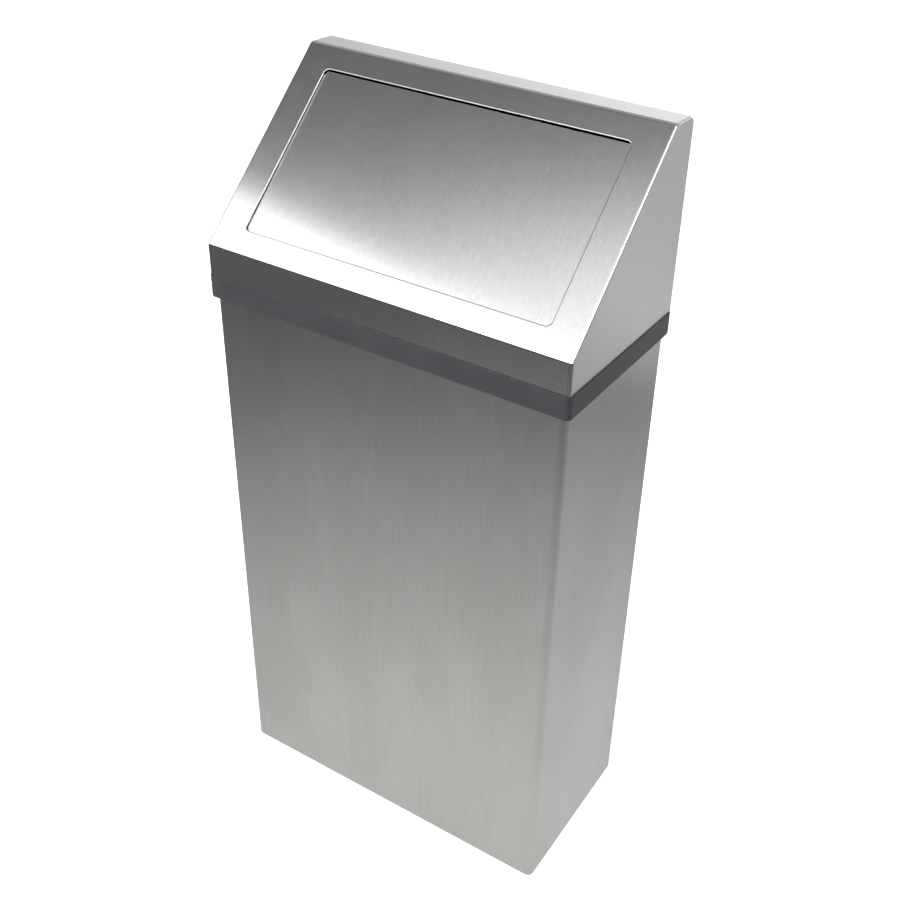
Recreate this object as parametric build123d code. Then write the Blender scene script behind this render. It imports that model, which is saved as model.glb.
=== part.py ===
from build123d import *
import os
from math import atan2, cos, hypot, sin, sqrt

# Wall-mounted waste bin in folded stainless sheet: a deep body, a rubber band round its rim,
# a lift-off hood with a sloping face, a push flap hung inside that face, and a rigid liner.
# Millimetres. X runs left to right, the front faces -Y, the wall lies at +Y, Z is up.
# The origin is under the middle of the bounding box, on the flat bottom.

# Hood, outside
hood_width = 375.0
hood_depth = 187.0
hood_rise = 180.0
skirt_rise = 30.0
top_depth = 33.6
hood_sheet = 1.0
skirt_inner_bend = 0.5
top_inner_bend = 2.5
back_inner_bend = 5.5
side_inner_bend = 1.4
seam_inset = 3.0
seam_lap = 5.0
skirt_seam_gap = 0.35
skirt_corner_radius = 2.5

# Borders round the opening in the sloping face
door_side_border = 30.75
door_low_border = 22.7
door_top_border = 23.65
door_corner_radius = 5.5

# Rubber band between body and hood
band_height = 22.0
band_proud = 1.2
band_corner_radius = 5.0
band_low_edge_radius = 1.2
band_lip = 3.0
band_over_rim = 4.0
band_inner_leg = 1.5
band_grip_gap = 0.1
seat_gap = 0.3

# Body
rim_height = 586.0
body_sheet = 1.0
body_inset_side = 3.0
body_inset_front = 2.0
body_inset_back = 1.5
body_corner_radius = 7.0
rear_flange = 20.0
pan_flange = 15.0
pan_gap = 0.1

# Wall fixing
wall_hole_radius = 3.25
wall_hole_span_x = 254.0
wall_hole_low = 115.0
wall_hole_drop = 71.0
bar_thickness = 3.0
bar_height = 30.0
bar_end = 20.0
bar_corner_radius = 5.0
spacer_radius = 10.0
rivet_radius = 2.0
rivet_head_radius = 3.6
rivet_head_height = 1.4
rivet_dome = 1.0
rivet_tail = 1.2
rivet_from_hole = 40.0
rivet_gap = 0.02

# Liner
liner_wall = 2.5
liner_drop = 26.7
liner_draft = 9.0
liner_lip_width = 6.0
liner_lip_height = 4.0
liner_lip_round = 1.3
liner_corner_radius = 16.0
liner_side_gap = 8.0
liner_front_gap = 5.0
liner_back_gap = 8.0
hand_slot_width = 90.0
hand_slot_height = 26.0
hand_slot_drop = 30.0

# Tabs that hold the hood over the rim
tab_width = 26.0
tab_thickness = 1.0
tab_reach = 26.0
tab_leaf = 22.0
tab_span = 96.0
tab_side_gap = 0.5

# Flap
flap_sheet = 1.0
flap_recess = 1.0
flap_lap = 6.0
flap_top_gap = 0.3
flap_flange = 10.0
flap_bend = 1.6
flap_notch_gap = 1.2
flap_notch_rise = 2.6
flap_notch_corner = 0.8
stiffener_end_gap = 12.75
stiffener_flange = 9.0
stiffener_crown = 16.0
stiffener_rise = 7.0
stiffener_bend = 1.5
stiffener_sheet = 1.0
stiffener_up = 62.0

# Hinge
rod_radius = 2.5
rod_play = 0.05
rod_overhang = 4.0
rod_chamfer = 0.5
knuckle_radius = 4.0
knuckle_length = 36.0
knuckle_from_edge = 12.0
knuckle_gap = 0.4
flange_clearance = 2.0
leaf_sheet = 1.2
leaf_length = 20.0
bracket_sheet = 1.5
bracket_gap = 1.5
bracket_length = 22.0
bracket_leaf = 14.2
bracket_ear = 13.0
bracket_ear_round = 5.5
clip_radius = 4.2
clip_thickness = 1.0
clip_gap = 0.02
stud_radius = 2.0
stud_span = 11.0
stud_length = 7.0
stud_play = 0.25
nut_flats = 7.0
nut_thickness = 3.2
nut_gap = 0.02

# Springs and rubber stops
wire_diameter = 1.0
spring_gap = 0.15
spring_turns = 9
spring_pitch = 1.15
spring_leg = 24.0
spring_tail = 7.0
spring_from_knuckle = 6.0
collar_width = 6.0
collar_ear = 8.0
collar_ear_width = 1.4
collar_ear_gap = 0.12
collar_gap = 0.02
stop_width = 20.0
stop_length = 9.0
stop_depth = 8.0
stop_from_side = 96.75
stop_round = 1.5
pad_width = 15.0
pad_from_side = 36.75
pad_margin = 1.0

# Places that follow from the sizes above
overall_depth = hood_depth + band_proud
wall_y = overall_depth / 2
hood_front = wall_y - hood_depth
hood_half = hood_width / 2
hood_top = rim_height + hood_rise
fold_z = rim_height + skirt_rise
fold_y = wall_y - top_depth
slope_length = hypot(fold_y - hood_front, hood_top - fold_z)
slope_angle = atan2(hood_top - fold_z, fold_y - hood_front)
slope_frame = Plane(
    origin=(0, hood_front, fold_z),
    x_dir=(1, 0, 0),
    z_dir=(0, -sin(slope_angle), cos(slope_angle)),
)
door_width = hood_width - 2 * door_side_border
door_low = door_low_border
door_high = slope_length - door_top_border
wall_hole_rows = (wall_hole_low, rim_height - wall_hole_drop)
shelf_z = rim_height - band_lip
hood_base = shelf_z + seat_gap
body_half = hood_half - body_inset_side
body_front = hood_front + body_inset_front
body_back = wall_y - body_inset_back
body_top = shelf_z - band_over_rim
back_panel_y = body_back - body_sheet
back_inner_y = back_panel_y - body_sheet
mouth_half = body_half - body_sheet - band_grip_gap - band_inner_leg
mouth_front = body_front + body_sheet + band_grip_gap + band_inner_leg
mouth_back = back_inner_y - band_grip_gap - band_inner_leg
seam_x = hood_half - seam_inset
flap_face = -(hood_sheet + flap_recess)
flap_inner = flap_face - flap_sheet
flap_half = door_width / 2 + flap_lap
flap_top = door_high - flap_top_gap
flap_low = door_low - flap_lap
hinge_n = flap_inner - knuckle_radius
hinge_s = flap_top - flap_sheet - flange_clearance - knuckle_radius
rod_bore = rod_radius + rod_play
ear_x = flap_half + bracket_gap


def box(x_low, x_high, y_low, y_high, z_low, z_high):
    """Square block between the given limits."""
    block = Box(x_high - x_low, y_high - y_low, z_high - z_low)
    return Pos((x_low + x_high) / 2, (y_low + y_high) / 2, (z_low + z_high) / 2) * block


def outline(half_width, y_front, y_back, radius):
    """Rounded rectangle seen from above, centred on X."""
    face = RectangleRounded(2 * half_width, y_back - y_front, radius)
    return Pos(0, (y_front + y_back) / 2) * face


def column(face, z_low, z_high):
    """Upright prism between two heights."""
    return Pos(0, 0, z_low) * extrude(face, z_high - z_low)


def on_slope(shape):
    """Put a shape drawn flat (X across, Y up the slope, Z outwards) on the sloping face."""
    return slope_frame.location * shape


def both_sides(shape):
    """A shape on the right and its mirror image on the left."""
    return [shape, mirror(shape, about=Plane.YZ)]


def cross_rod(radius, x_low, x_high):
    """Cylinder along X on the hinge axis, in the slope's frame."""
    rod = Rot(0, 90, 0) * Cylinder(radius, x_high - x_low)
    return Pos((x_low + x_high) / 2, hinge_s, hinge_n) * rod


# Body: sheet wrap, back panel, bottom pan and the bars behind the wall holes

def wall_holes():
    """Centres of the wall holes as (x, z)."""
    return [(side * wall_hole_span_x / 2, z) for side in (-1, 1) for z in wall_hole_rows]


def rivet_places(row_z):
    """Centres of one bar's rivets as (x, z), inboard of each wall hole."""
    reach = wall_hole_span_x / 2 - rivet_from_hole
    return [(side * reach, row_z) for side in (-1, 1)] + [(0, row_z)]


def drill(part, places, radius, y_low, y_high):
    """Holes along Y through a part."""
    length = y_high - y_low
    for x, z in places:
        hole = Pos(x, (y_low + y_high) / 2, z) * Rot(90, 0, 0) * Cylinder(radius, length)
        part = part - hole
    return part


def make_body_wrap():
    """Front and sides folded from one sheet, with flanges returned along the back."""
    outside = outline(body_half, body_front, body_back, body_corner_radius)
    inside = outline(
        body_half - body_sheet,
        body_front + body_sheet,
        body_back - body_sheet,
        body_corner_radius - body_sheet,
    )
    shell = column(outside - inside, 0, body_top)
    gap_half = body_half - rear_flange
    window = box(-gap_half, gap_half, back_inner_y, body_back + body_sheet, -1, body_top + 1)
    return shell - window


def make_back_panel():
    """Flat sheet welded inside the rear flanges, drilled for the wall."""
    half = body_half - body_corner_radius
    panel = box(-half, half, back_inner_y, back_panel_y, 0, body_top)
    through = (back_inner_y - 1, back_panel_y + 1)
    panel = drill(panel, wall_holes(), wall_hole_radius, *through)
    for row_z in wall_hole_rows:
        panel = drill(panel, rivet_places(row_z), rivet_radius + rivet_gap, *through)
    return panel


def make_bottom_pan():
    """Tray that closes the foot of the body, its flanges turned up inside the walls."""
    inset = body_sheet + pan_gap
    radius = body_corner_radius - inset
    half = body_half - inset
    front = body_front + inset
    back = back_inner_y - pan_gap
    tray = column(outline(half, front, back, radius), 0, pan_flange)
    hollow = outline(half - body_sheet, front + body_sheet, back - body_sheet, radius - body_sheet)
    return tray - column(hollow, body_sheet, pan_flange + 1)


def make_mounting_bar(row_z):
    """Flat bar that spreads the wall screws' load, riveted to the back panel."""
    half = wall_hole_span_x / 2 + bar_end
    front = back_inner_y - bar_thickness
    bar = box(-half, half, front, back_inner_y, row_z - bar_height / 2, row_z + bar_height / 2)
    bar = fillet(bar.edges().filter_by(Axis.Y), bar_corner_radius)
    through = (front - 1, back_inner_y + 1)
    holes = [(x, z) for x, z in wall_holes() if z == row_z]
    bar = drill(bar, holes, wall_hole_radius, *through)
    return drill(bar, rivet_places(row_z), rivet_radius + rivet_gap, *through)


def make_rivet(x, z):
    """Blind rivet with a domed head on the bar and a set tail on the panel's back."""
    front = back_inner_y - bar_thickness
    shank = Cylinder(rivet_radius, back_panel_y - front)
    head = Cylinder(rivet_head_radius, rivet_head_height)
    foot = Cylinder(rivet_head_radius, rivet_tail)
    turn = Rot(90, 0, 0)
    head = fillet(head.edges().filter_by(GeomType.CIRCLE).sort_by(Axis.Z)[-1], rivet_dome)
    rivet = Pos(x, (front + back_panel_y) / 2, z) * turn * shank
    rivet += Pos(x, front - rivet_head_height / 2, z) * turn * head
    return rivet + Pos(x, back_panel_y + rivet_tail / 2, z) * turn * foot


def make_bar_rivets():
    """All the rivets that hold the two bars."""
    return [make_rivet(x, z) for row_z in wall_hole_rows for x, z in rivet_places(row_z)]


def make_wall_spacers():
    """Washers between the back panel and the wall, one at each wall hole."""
    spacers = []
    for x, z in wall_holes():
        washer = Cylinder(spacer_radius, wall_y - back_panel_y) - Cylinder(wall_hole_radius, wall_y)
        spacers.append(Pos(x, (back_panel_y + wall_y) / 2, z) * Rot(90, 0, 0) * washer)
    return spacers


def make_edge_band():
    """Rubber band pushed over the body's rim, with a shelf and lip that seat the hood."""
    band_low = rim_height - band_height
    half = hood_half + band_proud
    ring = column(outline(half, hood_front - band_proud, wall_y, band_corner_radius), band_low, rim_height)
    low_edges = ring.faces().sort_by(Axis.Z)[0].edges()
    ring = fillet(low_edges, band_low_edge_radius)
    mouth = outline(mouth_half, mouth_front, mouth_back, body_corner_radius - body_sheet)
    ring -= column(mouth, band_low - 1, rim_height + 1)
    side_bend = hood_sheet + side_inner_bend
    pocket = outline(
        hood_half + seat_gap,
        hood_front - seat_gap,
        wall_y + 2 * band_corner_radius,
        side_bend + seat_gap,
    )
    ring -= column(pocket, shelf_z, rim_height + 1)
    slot_out = outline(
        body_half + band_grip_gap,
        body_front - band_grip_gap,
        body_back + band_grip_gap,
        body_corner_radius + band_grip_gap,
    )
    slot_in = outline(
        mouth_half + band_inner_leg,
        mouth_front - band_inner_leg,
        mouth_back + band_inner_leg,
        body_corner_radius - body_sheet - band_grip_gap,
    )
    return ring - column(slot_out - slot_in, band_low - 1, body_top + band_grip_gap)


# Liner: tapered tub with a turned-out lip and a hand slot in each end

def liner_limits():
    """Outer half width, front and back of the liner's lip."""
    half = mouth_half - liner_side_gap
    front = mouth_front + liner_front_gap
    back = back_inner_y - bar_thickness - liner_back_gap
    return half, front, back


def make_liner():
    """Rigid liner that lifts out to be emptied."""
    half, front, back = liner_limits()
    low = body_sheet + seat_gap
    high = rim_height - liner_drop
    lip = liner_lip_width

    def layer(inset, height, radius):
        return Pos(0, 0, height) * outline(half - inset, front + inset, back - inset, radius)

    foot_inset = lip + liner_draft
    outer = loft([layer(foot_inset, low, liner_corner_radius), layer(lip, high, liner_corner_radius)])
    rim = column(layer(0, 0, liner_corner_radius + lip), high - liner_lip_height, high)
    rim = fillet(rim.faces().sort_by(Axis.Z)[-1].edges(), liner_lip_round)
    wall_radius = liner_corner_radius - liner_wall
    inner = loft([
        layer(foot_inset + liner_wall, low + liner_wall, wall_radius),
        layer(lip + liner_wall, high + liner_wall, wall_radius),
    ])
    tub = outer + rim - inner
    slot_z = high - hand_slot_drop
    slot_y = (front + back) / 2
    slot = Rot(0, 90, 0) * extrude(SlotOverall(hand_slot_width, hand_slot_height, rotation=90), 2 * half, both=True)
    return tub - Pos(0, slot_y, slot_z) * slot


# Hood: a folded wrap closed by two side panels

def hood_profile(inset):
    """Side outline of the hood, drawn in YZ and drawn in by a given depth, open below."""
    low = hood_base - 4 * hood_sheet
    corners = [(hood_front, low), (hood_front, fold_z), (fold_y, hood_top), (wall_y, hood_top), (wall_y, low)]
    inner_bends = [skirt_inner_bend, top_inner_bend, back_inner_bend]
    path = FilletPolyline(*corners, radius=[2 * hood_sheet + bend for bend in inner_bends])
    face = make_face(path + Line(corners[-1], corners[0]))
    if inset > 0:
        face = offset(face, amount=-inset)
    return Plane.YZ * face


def hood_layer(depth_out, depth_in, x_low, x_high):
    """Sheet that follows the hood's outline between two depths."""
    ring = hood_profile(depth_out) - hood_profile(depth_in)
    return Pos(x_low, 0, 0) * extrude(ring, x_high - x_low)


def trim_base(shape):
    """Cut the hood's sheets off at their lower edge."""
    far = hood_width
    return shape - box(-far, far, -far, far, hood_base - far, hood_base)


def make_hood_wrap():
    """Skirt, slope, top and back folded from one sheet, with the flap's opening cut in it."""
    wrap = trim_base(hood_layer(0, hood_sheet, -seam_x, seam_x))
    door = RectangleRounded(door_width, door_high - door_low, door_corner_radius)
    cutter = extrude(door, 2 * hood_sheet, both=True)
    wrap -= on_slope(Pos(0, (door_low + door_high) / 2, 0) * cutter)
    slit_top = fold_z - skirt_seam_gap
    for side in (-1, 1):
        edge_x = side * seam_x
        inner_x = side * (seam_x - skirt_seam_gap)
        wrap -= box(
            min(edge_x, inner_x), max(edge_x, inner_x),
            hood_front - 1, hood_front + 2 * hood_sheet, hood_base - 1, slit_top,
        )
    low_edges = wrap.edges().filter_by(Axis.Y).group_by(Axis.Z)[0]
    front_edges = [edge for edge in low_edges if edge.center().Y < hood_front + 2 * hood_sheet]
    return fillet(front_edges, skirt_corner_radius)


def make_hood_side():
    """Right side panel, its edge bent over and stepped behind the wrap."""
    plate_x = hood_half - hood_sheet
    plate = Pos(plate_x, 0, 0) * extrude(hood_profile(0), hood_sheet)
    rim = hood_layer(0, hood_sheet, seam_x, plate_x)
    panel = plate + rim
    outer_edges = panel.faces().sort_by(Axis.X)[-1].edges()
    panel = fillet(outer_edges, hood_sheet + side_inner_bend)
    panel += hood_layer(hood_sheet, 2 * hood_sheet, seam_x - seam_lap, plate_x)
    return trim_base(panel)


def make_locating_tab(y_mid):
    """Stepped tab welded in the hood's side that reaches down inside the band."""
    outer = hood_half - hood_sheet
    drop_x = mouth_half - tab_side_gap
    web_low = rim_height + tab_side_gap
    web_high = web_low + tab_thickness
    y_low = y_mid - tab_width / 2
    y_high = y_mid + tab_width / 2
    inner = drop_x - tab_thickness
    leaf = box(outer - tab_thickness, outer, y_low, y_high, web_low, web_low + tab_leaf)
    web = box(inner, outer, y_low, y_high, web_low, web_high)
    drop = box(inner, drop_x, y_low, y_high, shelf_z - tab_reach, web_high)
    return leaf + web + drop


def make_locating_tabs():
    """Two tabs on each side."""
    tabs = []
    for y_mid in (-tab_span / 2, tab_span / 2):
        tabs += both_sides(make_locating_tab(y_mid))
    return tabs


# Hinge hardware under the slope, drawn in the slope's frame

def stud_places():
    """Centres of the right bracket's studs as (x, s)."""
    x = ear_x + bracket_sheet + (bracket_leaf - bracket_sheet) / 2
    return [(x, hinge_s - stud_span / 2), (x, hinge_s + stud_span / 2)]


def make_hinge_bracket():
    """Right bracket: a leaf under the slope and an ear that carries the rod."""
    low = hinge_s - bracket_length / 2
    high = hinge_s + bracket_length / 2
    top = -hood_sheet
    leaf = box(ear_x, ear_x + bracket_leaf, low, high, top - bracket_sheet, top)
    ear = box(ear_x, ear_x + bracket_sheet, low, high, top - bracket_ear, top)
    ear = fillet(ear.edges().filter_by(Axis.X).group_by(Axis.Z)[0], bracket_ear_round)
    bracket = leaf + ear
    bracket -= cross_rod(rod_bore, ear_x - 1, ear_x + bracket_sheet + 1)
    for x, s in stud_places():
        bracket -= Pos(x, s, top) * Cylinder(stud_radius + stud_play, 4 * bracket_sheet)
    return bracket


def make_studs():
    """Threaded studs welded under the slope, two for each bracket."""
    studs = []
    for x, s in stud_places():
        stud = Pos(x, s, -hood_sheet - stud_length / 2) * Cylinder(stud_radius, stud_length)
        studs += both_sides(on_slope(stud))
    return studs


def make_nuts():
    """Hexagon nuts on the studs."""
    nuts = []
    seat = -hood_sheet - bracket_sheet
    for x, s in stud_places():
        hexagon = RegularPolygon(nut_flats / sqrt(3), 6)
        nut = extrude(hexagon - Circle(stud_radius + nut_gap), nut_thickness)
        nuts += both_sides(on_slope(Pos(x, s, seat - nut_thickness) * nut))
    return nuts


def make_hinge_rod():
    """Rod across the hood on which the flap swings."""
    reach = ear_x + bracket_sheet + rod_overhang
    rod = cross_rod(rod_radius, -reach, reach)
    return on_slope(chamfer(rod.edges().filter_by(GeomType.CIRCLE), rod_chamfer))


def make_rod_clips():
    """Push-on clips that keep the rod from sliding."""
    start = ear_x + bracket_sheet
    clip = cross_rod(clip_radius, start, start + clip_thickness)
    clip -= cross_rod(rod_radius + clip_gap, start - 1, start + clip_thickness + 1)
    return both_sides(on_slope(clip))


def spring_span():
    """Inner and outer X of the right spring's coil."""
    outer = flap_half - knuckle_from_edge - knuckle_length - spring_from_knuckle
    return outer - spring_turns * spring_pitch, outer


def make_torsion_spring():
    """Right torsion spring: one leg lies on the flap, the other bears on its collar."""
    inner_x, outer_x = spring_span()
    mean_radius = rod_radius + spring_gap + wire_diameter / 2
    coil = Helix(pitch=spring_pitch, height=(spring_turns + 0.25) * spring_pitch, radius=mean_radius)
    start = coil @ 0
    end = coil @ 1
    tail = Line(start - (coil % 0) * spring_tail, start)
    leg = Line(end, end + (coil % 1) * spring_leg)
    path = tail + coil + leg
    section = Plane(origin=path @ 0, z_dir=path % 0) * Circle(wire_diameter / 2)
    spring = sweep(section, path=path.wire())
    return Pos(inner_x, hinge_s, hinge_n) * Rot(0, 90, 0) * Rot(0, 0, 90) * spring


def make_spring_collar():
    """Collar clamped on the rod, with an ear for the spring's fixed leg."""
    inner_x, outer_x = spring_span()
    high = inner_x - wire_diameter
    low = high - collar_width
    ear_s = hinge_s + rod_radius + spring_gap + wire_diameter + collar_ear_gap
    ear_end = ear_s + collar_ear_width
    ear_low = hinge_n - collar_ear
    collar = cross_rod(knuckle_radius - knuckle_gap, low, high)
    collar += box(low, high, hinge_s, ear_end, ear_low, hinge_n)
    collar += box(low, high + 2 * wire_diameter, ear_s, ear_end, ear_low, hinge_n - wire_diameter)
    return collar - cross_rod(rod_radius + collar_gap, low - 1, high + 1)


def make_opening_stops():
    """Rubber blocks above the opening that the flap's top flange meets when fully open."""
    reach_s = flap_top - hinge_s
    reach_n = flap_face - flap_flange - hinge_n
    start = hinge_s + hypot(reach_s, reach_n) + seat_gap
    stop = box(-stop_width / 2, stop_width / 2, start, start + stop_length, -hood_sheet - stop_depth, -hood_sheet)
    stop = fillet(stop.edges().filter_by(Axis.Z), stop_round)
    return both_sides(on_slope(Pos(door_width / 2 - stop_from_side, 0, 0) * stop))


def make_closing_pads():
    """Thin pads under the slope's lower border that the closed flap rests against."""
    low = flap_low + pad_margin
    high = door_low - pad_margin
    pad = box(-pad_width / 2, pad_width / 2, low, high, flap_face + seat_gap, -hood_sheet)
    return both_sides(on_slope(Pos(door_width / 2 - pad_from_side, 0, 0) * pad))


# Flap

def make_flap_panel():
    """Shallow tray of sheet, wider than the opening, with all four edges folded inwards."""
    length = flap_top - flap_low
    middle = (flap_top + flap_low) / 2
    back = flap_face - flap_flange
    tray = Box(2 * flap_half, length, flap_flange)
    tray = fillet(tray.edges().filter_by(Axis.Z), flap_bend)
    tray = fillet(tray.faces().sort_by(Axis.Z)[-1].edges(), flap_bend)
    tray = Pos(0, middle, (flap_face + back) / 2) * tray
    tray -= box(
        -flap_half + flap_sheet, flap_half - flap_sheet,
        flap_low + flap_sheet, flap_top - flap_sheet, back - 1, flap_inner,
    )
    # The corners by the hinge are notched: no lap above the rod, no side flange beside it.
    notch_x = door_width / 2 - flap_notch_gap
    far = flap_half + 1
    for x_low, x_high in ((-far, -notch_x), (notch_x, far)):
        tray -= box(x_low, x_high, hinge_s + flap_notch_rise, flap_top + 1, back - 1, 0)
        tray -= box(x_low, x_high, hinge_s - knuckle_radius, flap_top + 1, back - 1, flap_inner)
    top_corners = tray.edges().filter_by(Axis.Z).group_by(Axis.Y)[-1]
    return on_slope(fillet(top_corners, flap_notch_corner))


def make_flap_hinge():
    """Right hinge leaf welded to the flap, rolled into a knuckle round the rod."""
    high = flap_half - knuckle_from_edge
    low = high - knuckle_length
    leaf = box(low, high, hinge_s - leaf_length, hinge_s, flap_inner - leaf_sheet, flap_inner)
    hinge = leaf + cross_rod(knuckle_radius, low, high)
    return on_slope(hinge - cross_rod(rod_bore, low - 1, high + 1))


def make_flap_stiffener():
    """Hat-section rib welded across the inside of the flap."""
    reach = flap_half - stiffener_end_gap
    ends = (-reach, reach)
    crown = stiffener_crown / 2
    foot = crown + stiffener_flange
    rib = box(*ends, -crown, crown, -stiffener_rise, 0)
    rib = fillet(rib.edges().filter_by(Axis.X).group_by(Axis.Z)[0], stiffener_bend)
    rib += box(*ends, -foot, foot, -stiffener_sheet, 0)
    wall = stiffener_sheet
    rib -= box(ends[0] - 1, ends[1] + 1, wall - crown, crown - wall, wall - stiffener_rise, 1)
    return on_slope(Pos(0, flap_low + stiffener_up, flap_inner) * rib)


def write(name, solids):
    """Write one node; a list becomes a group of separate solids."""
    shape = Compound(solids) if isinstance(solids, list) else solids
    export_step(shape, f"parts/{name}.step")


def write_pair(name, solid):
    """Write a right-hand piece and its mirrored left-hand twin."""
    write(f"{name}_right", solid)
    write(f"{name}_left", mirror(solid, about=Plane.YZ))


os.makedirs("parts", exist_ok=True)
write("body_wrap", make_body_wrap())
write("back_panel", make_back_panel())
write("bottom_pan", make_bottom_pan())
write("lower_mounting_bar", make_mounting_bar(wall_hole_rows[0]))
write("upper_mounting_bar", make_mounting_bar(wall_hole_rows[1]))
write("mounting_bar_rivets", make_bar_rivets())
write("wall_spacers", make_wall_spacers())
write("edge_band", make_edge_band())
write("liner", make_liner())
write("hood_wrap", make_hood_wrap())
write_pair("hood_side", make_hood_side())
write("locating_tabs", make_locating_tabs())
write_pair("hinge_bracket", on_slope(make_hinge_bracket()))
write("bracket_studs", make_studs())
write("bracket_nuts", make_nuts())
write("hinge_rod", make_hinge_rod())
write("rod_clips", make_rod_clips())
write("spring_collars", both_sides(on_slope(make_spring_collar())))
write("opening_stops", make_opening_stops())
write("closing_pads", make_closing_pads())
write("flap_panel", make_flap_panel())
write_pair("flap_hinge", make_flap_hinge())
write("flap_stiffener", make_flap_stiffener())
write_pair("torsion_spring", on_slope(make_torsion_spring()))
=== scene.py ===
import bmesh
import bpy
from math import radians
from mathutils import Euler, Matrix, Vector


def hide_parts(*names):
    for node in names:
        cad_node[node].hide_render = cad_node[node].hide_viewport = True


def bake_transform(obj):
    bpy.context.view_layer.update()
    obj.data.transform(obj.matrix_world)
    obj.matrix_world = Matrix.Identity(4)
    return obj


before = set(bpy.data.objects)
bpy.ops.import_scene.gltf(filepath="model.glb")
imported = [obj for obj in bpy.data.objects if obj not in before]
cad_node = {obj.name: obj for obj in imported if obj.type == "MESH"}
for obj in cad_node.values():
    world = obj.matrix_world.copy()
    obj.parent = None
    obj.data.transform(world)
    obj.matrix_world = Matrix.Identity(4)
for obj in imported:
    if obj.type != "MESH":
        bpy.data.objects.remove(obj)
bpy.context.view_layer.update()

# Body: front and sides folded from one sheet of brushed stainless steel, open at the top.
# The grain runs upright on every face. Handling has left faint clouds on it, and the cut
# and folded edges are painted brighter than the faces: partly rubbed wear, partly painted highlight.

def make_group(name, inputs, outputs):
    """Empty shader node group with number and vector sockets, and its two end nodes."""
    group = bpy.data.node_groups.new(name, "ShaderNodeTree")
    for title, kind, value in inputs:
        socket = group.interface.new_socket(name=title, in_out="INPUT", socket_type=kind)
        if kind == "NodeSocketFloat":
            socket.default_value = value
    for title, kind in outputs:
        group.interface.new_socket(name=title, in_out="OUTPUT", socket_type=kind)
    return group, group.nodes.new("NodeGroupInput"), group.nodes.new("NodeGroupOutput")


def add(tree, kind, settings=None, **sockets):
    """New node: its settings, then a value or another node's output on each named socket.

    A space in a socket's name is written as an underscore, and s0, s1 and so on pick a
    socket by its place where names repeat.
    """
    node = tree.nodes.new(kind)
    for title, value in (settings or {}).items():
        setattr(node, title, value)
    for title, value in sockets.items():
        socket = node.inputs[int(title[1:])] if title[1:].isdigit() else node.inputs[title.replace("_", " ")]
        if isinstance(value, bpy.types.NodeSocket):
            tree.links.new(value, socket)
        else:
            socket.default_value = value
    return node


def maths(tree, operation, first, second=0.0):
    """One sum on two numbers."""
    return add(tree, "ShaderNodeMath", {"operation": operation}, s0=first, s1=second).outputs[0]


def total(tree, first, *others):
    """Numbers added up."""
    for other in others:
        first = maths(tree, "ADD", first, other)
    return first


def product(tree, first, *others):
    """Numbers multiplied together."""
    for other in others:
        first = maths(tree, "MULTIPLY", first, other)
    return first


def ramp(tree, value, low, high, new_low=0.0, new_high=1.0, curve="LINEAR"):
    """Map a range of a value evenly on to another."""
    node = add(
        tree, "ShaderNodeMapRange", {"interpolation_type": curve},
        Value=value, From_Min=low, From_Max=high, To_Min=new_low, To_Max=new_high,
    )
    return node.outputs[0]


def span(tree, value, low, high, new_low=0.0, new_high=1.0):
    """Map a range of a value smoothly on to another."""
    return ramp(tree, value, low, high, new_low, new_high, "SMOOTHSTEP")


def blend(tree, factor, first, second):
    """Colour between two others."""
    node = add(tree, "ShaderNodeMix", {"data_type": "RGBA"}, s0=factor, s6=first, s7=second)
    return node.outputs[2]


def noise(tree, vector, scale, detail=2.0, rough=0.5):
    """Soft noise on a vector."""
    node = add(tree, "ShaderNodeTexNoise", {}, Vector=vector, Scale=scale, Detail=detail, Roughness=rough)
    return node.outputs[0]


def stretched(tree, vector, stretch, shift=(0.0, 0.0, 0.0)):
    """Vector scaled by different amounts on each axis, so that a pattern is drawn out."""
    return add(tree, "ShaderNodeMapping", {}, Vector=vector, Scale=stretch, Location=shift).outputs[0]


def part_of(tree, vector, axis):
    """One axis of a vector."""
    return add(tree, "ShaderNodeSeparateXYZ", {}, Vector=vector).outputs[axis]


def make_edge_wear_and_highlight():
    """Group: 1 on a folded or cut edge, fading to 0 on the faces, broken up by noise; the mask for rubbed
    wear and for a painted highlight on edges.
    """
    group, source, result = make_group(
        "edge_wear_and_highlight",
        [("Vector", "NodeSocketVector", None), ("Radius", "NodeSocketFloat", 0.0008)],
        [("Edge", "NodeSocketFloat")],
    )
    # This edge mask paints a highlight on edges as well as marking rubbed wear.
    face_turn, edge_turn = 0.995, 0.80
    least_wear_and_highlight = 0.45
    patches = noise(group, source.outputs["Vector"], scale=260.0, detail=3.0)
    rounded = add(group, "ShaderNodeBevel", {"samples": 4}, Radius=source.outputs["Radius"]).outputs[0]
    face = add(group, "ShaderNodeNewGeometry").outputs["Normal"]
    turn = add(group, "ShaderNodeVectorMath", {"operation": "DOT_PRODUCT"}, s0=rounded, s1=face)
    turned = span(group, turn.outputs["Value"], face_turn, edge_turn)
    patchy = span(group, patches, 0.30, 0.62, least_wear_and_highlight, 1.0)
    group.links.new(product(group, turned, patchy), result.inputs["Edge"])
    return group


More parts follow.
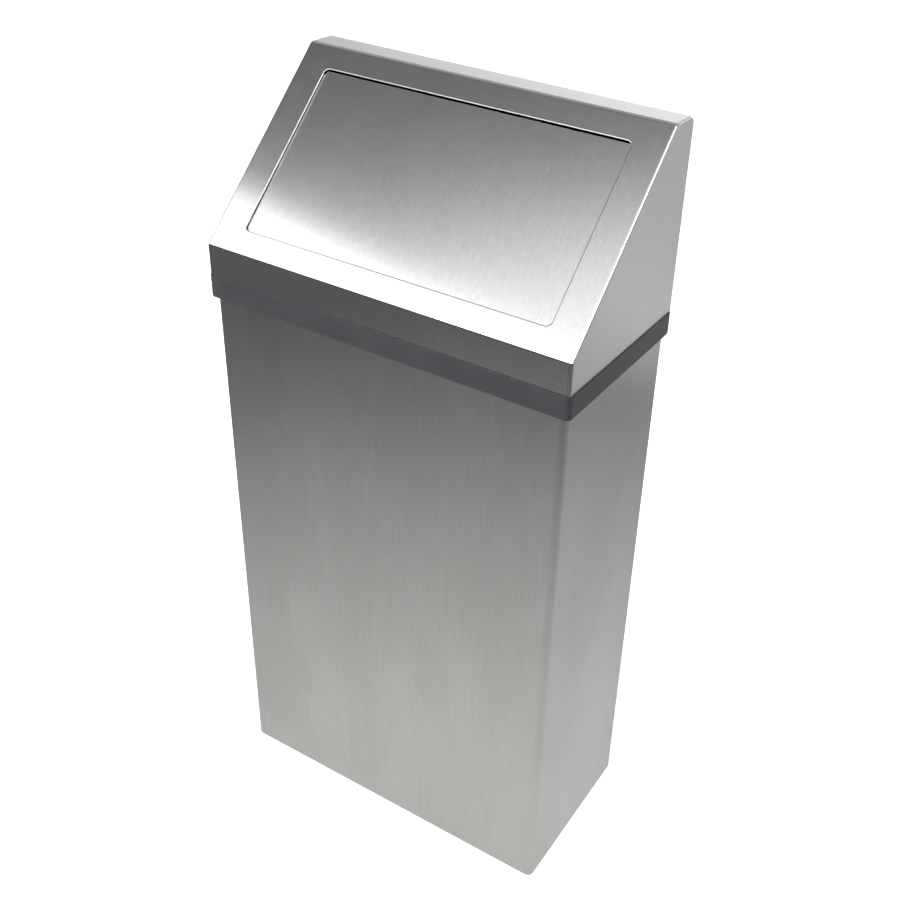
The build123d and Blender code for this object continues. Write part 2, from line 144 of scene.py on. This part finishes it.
def make_brushed_grain():
    """Group: fine and coarse brush lines on an already drawn-out vector."""
    group, source, result = make_group(
        "brushed_grain",
        [("Vector", "NodeSocketVector", None), ("Coarse", "NodeSocketFloat", 0.35)],
        [("Lines", "NodeSocketFloat"), ("Tone", "NodeSocketFloat")],
    )
    scratch_depth = 0.6
    broad_tone = 1.57
    vector = source.outputs["Vector"]
    coarse = source.outputs["Coarse"]
    fine = noise(group, vector, scale=2.6, detail=4.0, rough=0.65)
    broad = noise(group, vector, scale=0.42, detail=3.0, rough=0.6)
    scratches = span(group, noise(group, vector, scale=1.1, detail=1.0), 0.66, 0.74)
    cut = product(group, scratches, product(group, coarse, scratch_depth))
    lines = maths(group, "SUBTRACT", total(group, fine, product(group, broad, coarse)), cut)
    group.links.new(lines, result.inputs["Lines"])
    broad_share = product(group, coarse, broad_tone)
    tone = add(group, "ShaderNodeMix", {}, s0=broad_share, s2=fine, s3=broad).outputs[0]
    group.links.new(tone, result.inputs["Tone"])
    return group


def make_handling():
    """Group: clouds from wiping and faint finger marks, on the unstretched position."""
    group, source, result = make_group(
        "handling",
        [("Vector", "NodeSocketVector", None)],
        [("Cloud", "NodeSocketFloat"), ("Marks", "NodeSocketFloat")],
    )
    upward_wipe = (1.0, 1.0, 0.45)
    dab_edge, dab_middle = 0.42, 0.16
    vector = source.outputs["Vector"]
    wiped = noise(group, stretched(group, vector, upward_wipe), scale=9.0, detail=5.0, rough=0.62)
    group.links.new(span(group, wiped, 0.28, 0.72), result.inputs["Cloud"])
    dabs = add(group, "ShaderNodeTexVoronoi", {"feature": "F1"}, Vector=vector, Scale=34.0)
    dab = span(group, dabs.outputs["Distance"], dab_edge, dab_middle)
    touched = span(group, noise(group, vector, scale=6.0), 0.55, 0.70)
    group.links.new(product(group, dab, touched), result.inputs["Marks"])
    return group


edge_wear_and_highlight = make_edge_wear_and_highlight()
brushed_grain = make_brushed_grain()
handling = make_handling()


def put_group(tree, group, **sockets):
    """Place a shared group in a material."""
    return add(tree, "ShaderNodeGroup", {"node_tree": group}, **sockets)


def new_material(name):
    """Fresh material with its shader, its output and the object's own coordinates."""
    material = bpy.data.materials.new(name)
    material.use_nodes = True
    tree = material.node_tree
    tree.nodes.clear()
    shader = tree.nodes.new("ShaderNodeBsdfPrincipled")
    add(tree, "ShaderNodeOutputMaterial", {}, Surface=shader.outputs[0])
    place = tree.nodes.new("ShaderNodeTexCoord").outputs["Object"]
    return material, tree, shader, place


def wear_and_highlight_edges(tree, place, radius, strength, colour, wear_and_highlight_colour):
    """Colour with its edges brightened to another one, partly as rubbed wear and partly as a painted
    highlight.
    """
    # Edges painted brighter: rubbed wear and a painted highlight.
    edge = put_group(tree, edge_wear_and_highlight, Vector=place, Radius=radius).outputs["Edge"]
    return blend(tree, product(tree, edge, strength), colour, wear_and_highlight_colour)


def off_middle(tree, value, share):
    """How far a value lies from one half, times a share."""
    return product(tree, maths(tree, "SUBTRACT", value, 0.5), share)


def sheet_steel(
    name, grain, light, dark, rough, drawn, cloudy, brush=0.012, coarse=0.35,
    across=None, shift=(0.0, 0.0, 0.0), opening_half=0.0, rim_rough=0.0,
):
    """Brushed stainless sheet whose grain is drawn out along one direction.

    The direction across the grain is given, or follows from the face where the grain is upright.
    The sheared edge of an opening within opening_half of the middle is slightly rolled over.
    With rim_rough, the narrow faces that don't face sideways are brushed as the hood's wrap is.
    """
    bulge_depth = 0.00028
    grain_depth = 0.0004
    rolled_radius = 0.0012
    cloud_rough, mark_rough, line_rough = 0.05, 0.02, 0.03
    material, tree, shader, place = new_material(name)
    lines = put_group(tree, brushed_grain, Vector=stretched(tree, place, grain, shift), Coarse=coarse)
    worn = put_group(tree, handling, Vector=place)
    line_tone = lines.outputs["Tone"]
    cloud = worn.outputs["Cloud"]
    tone = total(tree, product(tree, line_tone, 1.0 - cloudy), product(tree, cloud, cloudy))
    colour = blend(tree, span(tree, tone, 0.32, 0.68), dark, light)
    # Edges painted lighter: rubbed wear and a painted highlight.
    colour = wear_and_highlight_edges(tree, place, 0.0008, 0.6, colour, (0.80, 0.79, 0.77, 1.0))
    tree.links.new(colour, shader.inputs["Base Color"])
    facing = add(tree, "ShaderNodeNewGeometry").outputs["Normal"]
    sideways = span(tree, maths(tree, "ABSOLUTE", part_of(tree, facing, "X")), 0.55, 0.90)
    roughness = total(
        tree,
        ramp(tree, sideways, 0.0, 1.0, rim_rough or rough, rough),
        off_middle(tree, cloud, cloud_rough * cloudy),
        product(tree, worn.outputs["Marks"], mark_rough),
        off_middle(tree, line_tone, line_rough),
    )
    tree.links.new(roughness, shader.inputs["Roughness"])
    shader.inputs["Metallic"].default_value = 1.0
    shader.inputs["Anisotropic"].default_value = drawn
    if rim_rough:
        folded = maths(tree, "SUBTRACT", 1.0, sideways)
        side = add(tree, "ShaderNodeCombineXYZ", {}, X=folded, Z=sideways)
    elif across:
        side = add(tree, "ShaderNodeCombineXYZ", {}, X=across[0], Y=across[1], Z=across[2])
    else:
        upright = (0.0, 0.0, 1.0)
        side = add(tree, "ShaderNodeVectorMath", {"operation": "CROSS_PRODUCT"}, s0=facing, s1=upright)
    tree.links.new(side.outputs[0], shader.inputs["Tangent"])
    bulge = noise(tree, place, scale=4.5, detail=1.0)
    sheet_bump = add(tree, "ShaderNodeBump", {}, Strength=1.0, Distance=bulge_depth * cloudy, Height=bulge)
    grain_bump = add(
        tree, "ShaderNodeBump", {},
        Strength=brush, Distance=grain_depth, Height=lines.outputs["Lines"], Normal=sheet_bump.outputs[0],
    )
    normal = grain_bump.outputs[0]
    if opening_half:
        rolled = add(tree, "ShaderNodeBevel", {"samples": 8}, Radius=rolled_radius).outputs[0]
        from_middle = maths(tree, "ABSOLUTE", part_of(tree, place, "X"))
        inside = maths(tree, "LESS_THAN", from_middle, opening_half)
        mixed = add(tree, "ShaderNodeMix", {"data_type": "VECTOR"}, s0=inside, s4=normal, s5=rolled)
        normal = mixed.outputs[1]
    tree.links.new(normal, shader.inputs["Normal"])
    return material


def finish_nodes(material, *names):
    """Give CAD nodes their finish."""
    for name in names:
        for slot in cad_node[name].material_slots:
            slot.material = material


upright_grain = (1500.0, 1500.0, 60.0)
body_light = (0.655, 0.647, 0.628, 1.0)
body_dark = (0.575, 0.567, 0.548, 1.0)
body_steel = sheet_steel(
    "body_steel", upright_grain, body_light, body_dark, rough=0.32, drawn=0.90, cloudy=0.24,
)
finish_nodes(body_steel, "body_wrap")

# Back panel, bottom pan and wall bars: plain sheet of the same steel, with the mill's dull,
# faintly mottled face. The panel is welded in the rear flanges, the pan closes the foot, and
# the bars are riveted over the wall holes.

def plain_sheet(name):
    """Unbrushed sheet: fine mottling, a few rolled streaks and dull patches."""
    rolled_streaks = (220.0, 220.0, 6.0)
    bright_rough, dull_rough = 0.34, 0.46
    material, tree, shader, place = new_material(name)
    worn = put_group(tree, handling, Vector=place)
    rolled = noise(tree, stretched(tree, place, rolled_streaks), scale=1.0)
    tone = total(tree, product(tree, worn.outputs["Cloud"], 0.6), product(tree, rolled, 0.4))
    colour = blend(tree, span(tree, tone, 0.25, 0.75), (0.44, 0.435, 0.42, 1.0), (0.56, 0.555, 0.54, 1.0))
    # Edges painted lighter: rubbed wear and a painted highlight.
    colour = wear_and_highlight_edges(tree, place, 0.0006, 0.6, colour, (0.74, 0.73, 0.71, 1.0))
    tree.links.new(colour, shader.inputs["Base Color"])
    dullness = span(tree, tone, 0.2, 0.8, bright_rough, dull_rough)
    roughness = total(tree, dullness, product(tree, worn.outputs["Marks"], 0.06))
    tree.links.new(roughness, shader.inputs["Roughness"])
    shader.inputs["Metallic"].default_value = 1.0
    mottle = noise(tree, place, scale=420.0, detail=3.0)
    bump = add(tree, "ShaderNodeBump", {}, Strength=0.12, Distance=0.0003, Height=mottle)
    tree.links.new(bump.outputs[0], shader.inputs["Normal"])
    return material


plain_steel = plain_sheet("plain_steel")
finish_nodes(plain_steel, "back_panel", "bottom_pan", "lower_mounting_bar", "upper_mounting_bar")

# Rivets and wall washers: small steel parts with bright zinc plate, satin and cool grey, with
# a faint bloom. The rivets hold the bars to the back panel, and the washers keep it off the wall.

def plated(name):
    """Bright zinc plate with a bloom of duller spots."""
    bright_rough, bloom_rough = 0.26, 0.16
    material, tree, shader, place = new_material(name)
    bloom = span(tree, noise(tree, place, scale=180.0, detail=4.0), 0.35, 0.65)
    colour = blend(tree, bloom, (0.62, 0.63, 0.64, 1.0), (0.50, 0.51, 0.53, 1.0))
    # Edges painted lighter: rubbed wear and a painted highlight.
    colour = wear_and_highlight_edges(tree, place, 0.0004, 0.7, colour, (0.80, 0.80, 0.80, 1.0))
    tree.links.new(colour, shader.inputs["Base Color"])
    tree.links.new(total(tree, bright_rough, product(tree, bloom, bloom_rough)), shader.inputs["Roughness"])
    shader.inputs["Metallic"].default_value = 1.0
    grains = noise(tree, place, scale=900.0)
    bump = add(tree, "ShaderNodeBump", {}, Strength=0.15, Distance=0.0002, Height=grains)
    tree.links.new(bump.outputs[0], shader.inputs["Normal"])
    return material


hardware_steel = plated("hardware_steel")
finish_nodes(hardware_steel, "mounting_bar_rivets", "wall_spacers")

# Edge band: extruded dark grey rubber pushed over the body's rim. It has a satin skin and the
# faint dusty bloom that such rubber gets.

def make_moulded_skin():
    """Group: fine skin of moulded rubber or plastic, with dust that settles in patches."""
    group, source, result = make_group(
        "moulded_skin",
        [("Vector", "NodeSocketVector", None), ("Scale", "NodeSocketFloat", 900.0)],
        [("Skin", "NodeSocketFloat"), ("Dust", "NodeSocketFloat")],
    )
    vector = source.outputs["Vector"]
    skin = noise(group, vector, source.outputs["Scale"], detail=3.0, rough=0.6)
    group.links.new(skin, result.inputs["Skin"])
    patches = span(group, noise(group, vector, scale=26.0, detail=4.0, rough=0.6), 0.35, 0.75)
    specks = span(group, noise(group, vector, scale=700.0, detail=1.0), 0.60, 0.72)
    dust = total(group, patches, product(group, specks, 0.35))
    group.links.new(maths(group, "MINIMUM", dust, 1.0), result.inputs["Dust"])
    return group


moulded_skin = make_moulded_skin()


def moulded(name, colour, dusty, rough, skin_scale, skin_depth, gloss=0.5):
    """Moulded or extruded rubber or plastic."""
    dust_cover, dust_rough = 0.6, 0.05
    material, tree, shader, place = new_material(name)
    skin = put_group(tree, moulded_skin, Vector=place, Scale=skin_scale)
    dust = skin.outputs["Dust"]
    tone = blend(tree, product(tree, dust, dust_cover), colour, dusty)
    # Edges painted towards the dusty colour: dust and wear, and a painted highlight.
    tone = wear_and_highlight_edges(tree, place, 0.0007, 0.35, tone, dusty)
    tree.links.new(tone, shader.inputs["Base Color"])
    tree.links.new(total(tree, rough, product(tree, dust, dust_rough)), shader.inputs["Roughness"])
    shader.inputs["Specular IOR Level"].default_value = gloss
    bump = add(tree, "ShaderNodeBump", {}, Strength=skin_depth, Distance=0.0003, Height=skin.outputs["Skin"])
    tree.links.new(bump.outputs[0], shader.inputs["Normal"])
    return material


band_grey = (0.037, 0.038, 0.042, 1.0)
band_dust = (0.047, 0.048, 0.053, 1.0)
band_rubber = moulded(
    "band_rubber", band_grey, band_dust, rough=0.42, skin_scale=900.0, skin_depth=0.2, gloss=0.25,
)
finish_nodes(band_rubber, "edge_band")

# Liner: rigid grey plastic tub, satin inside and out. It is moulded in one piece with a
# turned-out lip and two hand slots, and stands loose on the bottom pan.

liner_grey = (0.19, 0.195, 0.20, 1.0)
liner_dust = (0.23, 0.235, 0.24, 1.0)
liner_plastic = moulded(
    "liner_plastic", liner_grey, liner_dust, rough=0.40, skin_scale=500.0, skin_depth=0.25,
)
finish_nodes(liner_plastic, "liner")

# Hood: skirt, slope, top and back folded from one brushed sheet, closed by two side panels
# whose edges are bent over. The grain of the wrap runs round its folds, and that of the
# side panels runs level.

folded_grain = (1700.0, 380.0, 380.0)
across_hood = (1.0, 0.0, 0.0)
hood_wrap_steel = sheet_steel(
    "hood_steel", folded_grain, (0.668, 0.666, 0.660, 1.0), (0.580, 0.578, 0.572, 1.0),
    rough=0.187, drawn=0.95, cloudy=0.10, brush=0.006, coarse=0.30, across=across_hood, opening_half=0.17,
)
finish_nodes(hood_wrap_steel, "hood_wrap")

level_grain = (1500.0, 130.0, 1500.0)
hood_side_steel = sheet_steel(
    "hood_side_steel", level_grain, (0.640, 0.638, 0.632, 1.0), (0.590, 0.588, 0.582, 1.0),
    rough=0.28, drawn=0.92, cloudy=0.20, brush=0.006, coarse=0.10, rim_rough=0.17,
)
finish_nodes(hood_side_steel, "hood_side_right", "hood_side_left")

# Locating tabs and hinge brackets: small bent strips of plain sheet. The tabs are welded in
# the hood's sides and reach down inside the band, and the brackets are bolted under the slope.

finish_nodes(plain_steel, "locating_tabs", "hinge_bracket_right", "hinge_bracket_left")

# Hinge hardware: zinc-plated rod, clips, collars, studs and nuts. The rod runs through both
# brackets, the clips keep it there, and the collars hold the springs.

finish_nodes(hardware_steel, "bracket_studs", "bracket_nuts", "hinge_rod", "rod_clips", "spring_collars")

# Stops and pads: dull black moulded rubber. The stops above the opening meet the fully open
# flap's top flange, and the closed flap rests against the thin pads under the slope's border.

stop_black = (0.022, 0.022, 0.023, 1.0)
stop_dust = (0.07, 0.07, 0.072, 1.0)
stop_rubber = moulded("stop_rubber", stop_black, stop_dust, rough=0.55, skin_scale=1200.0, skin_depth=0.25)
finish_nodes(stop_rubber, "opening_stops", "closing_pads")

# Flap: shallow tray of brushed sheet hung behind the opening, with hinge leaves and a rib
# welded inside it. Its grain runs up the slope, as the hood's does.

flap_steel = sheet_steel(
    "flap_steel", folded_grain, (0.668, 0.667, 0.663, 1.0), (0.580, 0.579, 0.575, 1.0),
    rough=0.187, drawn=0.95, cloudy=0.08, brush=0.006, coarse=0.30,
    across=across_hood, shift=(7.3, 0.0, 0.0),
)
finish_nodes(flap_steel, "flap_panel")
finish_nodes(plain_steel, "flap_hinge_right", "flap_hinge_left", "flap_stiffener")

# Torsion springs: drawn wire, dark and smooth, with the die's faint rings. On the bin each spring's
# tail stays against its collar on the hood's rod while its leg goes with the flap, so its coil
# winds up between the two as the flap opens. Here each is a merged, smooth-shaded copy of its
# CAD node, which doesn't wind.


def drawn_wire(name):
    """Oiled spring wire."""
    die_rings = (90.0, 900.0, 900.0)
    smooth_rough, dull_rough = 0.24, 0.38
    material, tree, shader, place = new_material(name)
    streak = noise(tree, stretched(tree, place, die_rings), scale=1.0, detail=3.0)
    colour = blend(tree, span(tree, streak, 0.3, 0.7), (0.24, 0.235, 0.23, 1.0), (0.36, 0.355, 0.35, 1.0))
    # Edges painted lighter: rubbed wear and a painted highlight.
    colour = wear_and_highlight_edges(tree, place, 0.0002, 0.4, colour, (0.55, 0.54, 0.53, 1.0))
    tree.links.new(colour, shader.inputs["Base Color"])
    tree.links.new(span(tree, streak, 0.2, 0.8, smooth_rough, dull_rough), shader.inputs["Roughness"])
    shader.inputs["Metallic"].default_value = 1.0
    bump = add(tree, "ShaderNodeBump", {}, Strength=0.15, Distance=0.0001, Height=streak)
    tree.links.new(bump.outputs[0], shader.inputs["Normal"])
    return material


spring_steel = drawn_wire("spring_steel")


def winding_spring(name):
    """Merged, smooth-shaded copy of a spring's CAD node in spring steel, in place of the node; it doesn't
    turn with the hood or the flap.
    """
    mesh = cad_node[name].data.copy()
    coil = bmesh.new()
    coil.from_mesh(mesh)
    bmesh.ops.remove_doubles(coil, verts=coil.verts, dist=1e-6)
    for face in coil.faces:
        face.smooth = True
    coil.to_mesh(mesh)
    coil.free()
    if "custom_normal" in mesh.attributes:
        mesh.attributes.remove(mesh.attributes["custom_normal"])
    mesh.materials.clear()
    mesh.materials.append(spring_steel)
    piece = bpy.data.objects.new("wound_" + name, mesh)
    bpy.context.scene.collection.objects.link(piece)
    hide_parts(name)
    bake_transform(piece)


winding_spring("torsion_spring_right")
winding_spring("torsion_spring_left")

# Floor and background: a plain pale floor, white to the camera, that keeps the bin's shadow.
# The steel sees the same paper lit round the foot and falling off into a darker room, and a
# pale wall behind the bin that only reflections see.

scene = bpy.context.scene
white = (1.0, 1.0, 1.0, 1.0)
black = (0.0, 0.0, 0.0, 1.0)
paper = (0.80, 0.80, 0.80, 1.0)
floor_half = 9.0
pool_middle = (0.05, 0.0, 0.0)
pool_edges = (0.227, 0.934)
pool_light = (0.74, 0.27)
pool_to_room = (0.90, 1.30)
back_reach = 0.16
room_depth = 0.4
room_light = (0.14, 0.45)
fill_edges = (0.8, 3.5)
fill_light = (0.45, 1.0)


def stage_sheet(name, corners):
    """Flat sheet of the studio, with a material that gives off light."""
    mesh = bpy.data.meshes.new(name)
    sheet = bmesh.new()
    sheet.faces.new([sheet.verts.new(corner) for corner in corners])
    sheet.to_mesh(mesh)
    sheet.free()
    piece = bpy.data.objects.new(name, mesh)
    scene.collection.objects.link(piece)
    material, tree, shader, place = new_material(name)
    mesh.materials.append(material)
    shader.inputs["Roughness"].default_value = 0.9
    shader.inputs["Specular IOR Level"].default_value = 0.0
    shader.inputs["Emission Color"].default_value = white
    return piece, tree, shader, place


def light_floor():
    """Floor: its own white for the camera, and a pool of lit paper for reflections."""
    corners = [(x * floor_half, y * floor_half, 0.0) for x, y in ((-1, -1), (1, -1), (1, 1), (-1, 1))]
    tree, shader, place = stage_sheet("floor", corners)[1:]
    distance = add(tree, "ShaderNodeVectorMath", {"operation": "DISTANCE"}, s0=place, s1=pool_middle)
    from_pool = distance.outputs["Value"]
    back = part_of(tree, place, "Y")
    room_tone = ramp(tree, back, -room_depth, room_depth, *room_light)
    nearer = maths(tree, "SUBTRACT", from_pool, ramp(tree, back, 0.0, 0.5, 0.0, back_reach))
    near_tone = ramp(tree, nearer, *pool_edges, *pool_light)
    out_of_pool = ramp(tree, from_pool, *pool_to_room)
    paper_tone = add(tree, "ShaderNodeMix", {}, s0=out_of_pool, s2=near_tone, s3=room_tone).outputs[0]
    path = add(tree, "ShaderNodeLightPath")
    glossy = path.outputs["Is Glossy Ray"]
    seen = maths(tree, "MAXIMUM", path.outputs["Is Camera Ray"], path.outputs["Is Transmission Ray"])
    white_fill = product(tree, seen, ramp(tree, from_pool, *fill_edges, *fill_light))
    glow = total(tree, white_fill, product(tree, glossy, paper_tone))
    tree.links.new(glow, shader.inputs["Emission Strength"])
    tree.links.new(blend(tree, glossy, paper, black), shader.inputs["Base Color"])


light_floor()

wall_y = 0.94
wall_half = 3.0
wall_low, wall_high = 0.002, 0.85
wall_fade = 0.42
wall_light = (0.80, 0.56)


def light_wall():
    """Pale wall behind the bin, that nothing but reflections sees."""
    corners = [
        (wall_half, wall_y, wall_low), (-wall_half, wall_y, wall_low),
        (-wall_half, wall_y, wall_high), (wall_half, wall_y, wall_high),
    ]
    wall, tree, shader, place = stage_sheet("back_wall", corners)
    shader.inputs["Base Color"].default_value = black
    tone = ramp(tree, part_of(tree, place, "Z"), 0.0, wall_fade, *wall_light)
    tree.links.new(tone, shader.inputs["Emission Strength"])
    wall.visible_camera = False
    wall.visible_diffuse = False
    wall.visible_shadow = False
    wall.visible_transmission = False


light_wall()

# Studio: a broad soft light in front and above that brightens towards its lower edge, with a
# brighter strip beyond it, a small light at the right, a dim ceiling and a pale room behind.
# It is all in the world, so that every side of the steel has something soft to mirror.

room_base = 0.065
least_height = 0.05
box_turn = 0.407
box_shift = 0.6
box_edges = (0.437, 0.565)
box_strength = 1.748
strip_aim = (0.181, 0.805, 0.564)
strip_edges = (-0.011, -0.021)
strip_strength = 2.1
strip_end = (0.157, -0.243)
box_right_end = (0.354, -0.24)
box_left_end = (-1.928, -1.128)
box_foot = (0.30, 0.42)
right_light_near = (0.35, 0.50)
right_light_far = (1.30, 1.00)
right_light_back = (0.05, 0.25)
right_light_foot = (0.35, 0.50)
right_light_strength = 5.5
ceiling_front = (-0.20, 0.02)
ceiling_foot = (0.30, 0.48)
ceiling_strength = 0.40
back_room_front = (-0.1, 0.6)
back_room_top = (0.536, 0.136)
back_room_across = (-0.89, 0.15)
back_room_light = (0.165, 3.29)
back_room_end = (0.10, 0.45)
back_room_end_light = (1.0, 0.35)


def light_studio():
    """World that shows the studio to reflections and plain white to the camera."""
    world = bpy.data.worlds.new("studio")
    scene.world = world
    world.use_nodes = True
    tree = world.node_tree
    tree.nodes.clear()
    aim = add(tree, "ShaderNodeTexCoord").outputs["Generated"]
    to_right, to_back, upward = add(tree, "ShaderNodeSeparateXYZ", {}, Vector=aim).outputs
    height = maths(tree, "MAXIMUM", upward, least_height)
    across = maths(tree, "DIVIDE", to_right, height)
    forward = product(tree, maths(tree, "DIVIDE", to_back, height), -1.0)
    slant = total(tree, forward, product(tree, total(tree, across, box_shift), box_turn))
    soft_box = ramp(tree, slant, *box_edges, 0.0, box_strength)
    strip_side = add(tree, "ShaderNodeVectorMath", {"operation": "DOT_PRODUCT"}, s0=aim, s1=strip_aim)
    strip = span(tree, strip_side.outputs["Value"], *strip_edges, 0.0, strip_strength)
    strip = product(tree, strip, span(tree, across, *strip_end))
    box_sides = product(tree, span(tree, across, *box_right_end), span(tree, across, *box_left_end))
    front_light = product(tree, total(tree, soft_box, strip), box_sides, span(tree, upward, *box_foot))
    right_light = product(
        tree,
        span(tree, across, *right_light_near),
        span(tree, across, *right_light_far),
        span(tree, forward, *right_light_back),
        span(tree, upward, *right_light_foot),
        right_light_strength,
    )
    ceiling = product(
        tree, span(tree, to_back, *ceiling_front), span(tree, upward, *ceiling_foot), ceiling_strength
    )
    back_room = product(
        tree,
        span(tree, to_back, *back_room_front),
        span(tree, upward, *back_room_top),
        ramp(tree, to_right, *back_room_across, *back_room_light),
        span(tree, to_right, *back_room_end, *back_room_end_light),
    )
    reflected = total(tree, front_light, right_light, ceiling, room_base, back_room)
    path = add(tree, "ShaderNodeLightPath")
    seen = maths(tree, "MAXIMUM", path.outputs["Is Camera Ray"], path.outputs["Is Transmission Ray"])
    level = add(tree, "ShaderNodeMix", {}, s0=seen, s2=reflected, s3=1.0).outputs[0]
    sky = add(tree, "ShaderNodeBackground", {}, Color=white, Strength=level)
    add(tree, "ShaderNodeOutputWorld", {}, Surface=sky.outputs[0])


light_studio()

# Lamps: three rectangular soft lights for the rubber, the plastic and the floor's shadow. The
# steel doesn't mirror them, because its studio is in the world.

def soft_light(name, place, target, side, watts):
    """Square soft light aimed at a point, not itself mirrored in the steel."""
    lamp = bpy.data.lights.new(name, "AREA")
    lamp.shape = "RECTANGLE"
    lamp.size = side
    lamp.size_y = side
    lamp.energy = watts
    box_light = bpy.data.objects.new(name, lamp)
    box_light.location = place
    box_light.rotation_euler = (Vector(place) - Vector(target)).to_track_quat("Z", "Y").to_euler()
    box_light.visible_glossy = False
    scene.collection.objects.link(box_light)


soft_light("key_light", (-1.7, -1.1, 1.4), target=(-0.1, 0.0, 0.5), side=1.4, watts=56.0)
soft_light("top_light", (0.3, 0.3, 2.8), target=(0.0, 0.0, 0.2), side=2.4, watts=30.0)
soft_light("right_light", (2.2, -0.9, 1.4), target=(0.0, 0.0, 0.3), side=1.6, watts=1.5)

# Camera: at the photograph's height and angle, with its picture shifted as the photograph's
# is. The place, turn and lens were worked out from the object's straight edges.

camera_place = (0.54206, -0.80058, 1.05979)
camera_turn = (58.37284, -3.20630, 30.23457)
camera_lens = 47.2529
picture_shift = (-0.100334, -0.044609)

lens = bpy.data.cameras.new("camera")
lens.lens = camera_lens
lens.sensor_width = 36.0
lens.shift_x, lens.shift_y = picture_shift
camera = bpy.data.objects.new("camera", lens)
camera.location = camera_place
camera.rotation_euler = Euler([radians(turn) for turn in camera_turn], "XYZ")
scene.collection.objects.link(camera)
scene.camera = camera
scene.view_settings.view_transform = "Standard"
